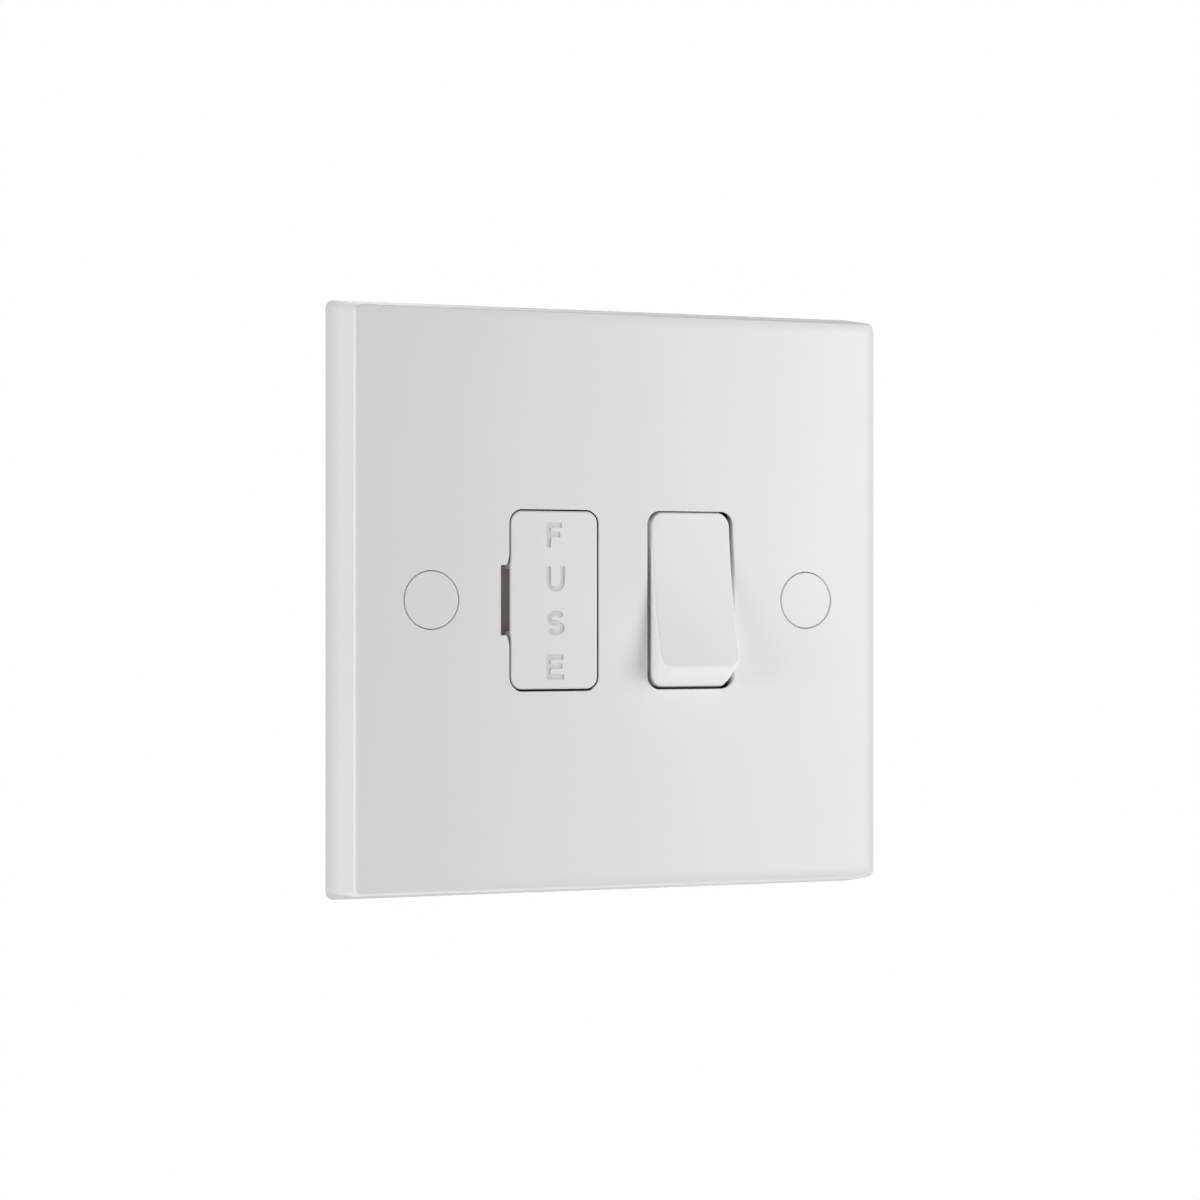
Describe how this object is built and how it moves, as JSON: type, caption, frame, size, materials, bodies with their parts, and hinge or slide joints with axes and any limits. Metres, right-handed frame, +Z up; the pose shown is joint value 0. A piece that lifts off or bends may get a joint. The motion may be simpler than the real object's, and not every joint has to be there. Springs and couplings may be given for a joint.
{
  "type": "fused spur unit",
  "caption": "Square white wall plate with a dished rocker switch, pull-out fuse carrier and round screw covers, and a rear housing with brass wire terminals.",
  "frame": {"origin": "centre of the plane where the plate's rim meets the wall", "axes": "+X to the right seen from the front, +Y into the wall, +Z up"},
  "size_m": [0.086, 0.0321, 0.086],
  "materials": {
    "white_plastic": "smooth low-gloss white moulding",
    "housing_plastic": "charcoal thermoset moulding",
    "zinc_steel": "bright zinc plate",
    "brass": "cut brass",
    "clip_metal": "rolled spring bronze",
    "silver": "silver contact face",
    "plunger_plastic": "natural nylon",
    "spring_steel": "drawn wire",
    "fuse_ceramic": "unglazed ceramic tube",
    "fuse_cap_metal": "nickel plate"
  },
  "bodies": {
    "base": {"front_plate": "white_plastic", "screw_caps": "white_plastic", "fixing_screws": "zinc_steel", "rear_housing": "housing_plastic", "assembly_screws": "zinc_steel", "fixed_contact_tips": "silver", "mains_live_terminal": "brass", "mains_neutral_terminal": "brass", "load_neutral_terminal": "brass", "load_live_terminal": "brass", "earth_terminal": "brass", "terminal_screws": "brass", "live_link": "brass", "lower_fuse_clip": "clip_metal", "upper_fuse_clip": "clip_metal"},
    "switch_rocker": {"rocker": "white_plastic", "live_spring": "spring_steel", "neutral_spring": "spring_steel"},
    "live_push_pin": {"live_plunger": "plunger_plastic"},
    "neutral_push_pin": {"neutral_plunger": "plunger_plastic"},
    "live_seesaw": {"live_moving_contact": "brass", "live_moving_tip": "silver"},
    "neutral_seesaw": {"neutral_moving_contact": "brass", "neutral_moving_tip": "silver"},
    "fuse_drawer": {"fuse_carrier": "white_plastic", "fuse_barrel": "fuse_ceramic", "fuse_end_caps": "fuse_cap_metal"}
  },
  "joints": [
    {"name": "rocker_tilt", "type": "hinge", "parent": "base", "child": "switch_rocker", "pos_m": [0.011, -0.00236, 0], "axis": [1, 0, 0], "range_deg": [0, 20.8]},
    {"name": "live_seesaw_tilt", "type": "hinge", "parent": "base", "child": "live_seesaw", "pos_m": [0.0072, 0.00795, 0], "axis": [1, 0, 0], "range_deg": [-17, 0]},
    {"name": "neutral_seesaw_tilt", "type": "hinge", "parent": "base", "child": "neutral_seesaw", "pos_m": [0.0148, 0.00795, 0], "axis": [1, 0, 0], "range_deg": [-17, 0]},
    {"name": "live_plunger_slide", "type": "slide", "parent": "switch_rocker", "child": "live_push_pin", "axis": [0, -0.9836, 0.1805], "range_m": [0, 0.0005], "stiffness_N_per_m": 400, "springref_m": -0.002, "deforming": ["live_spring"]},
    {"name": "neutral_plunger_slide", "type": "slide", "parent": "switch_rocker", "child": "neutral_push_pin", "axis": [0, -0.9836, 0.1805], "range_m": [0, 0.0005], "stiffness_N_per_m": 400, "springref_m": -0.002, "deforming": ["neutral_spring"]},
    {"name": "fuse_carrier_slide", "type": "slide", "parent": "base", "child": "fuse_drawer", "axis": [0, -1, 0], "range_m": [0, 0.016]}
  ],
  "couplings": [
    {"joint": "live_seesaw_tilt", "follows": "rocker_tilt", "ratio": -0.81731},
    {"joint": "neutral_seesaw_tilt", "follows": "rocker_tilt", "ratio": -0.81731}
  ]
}
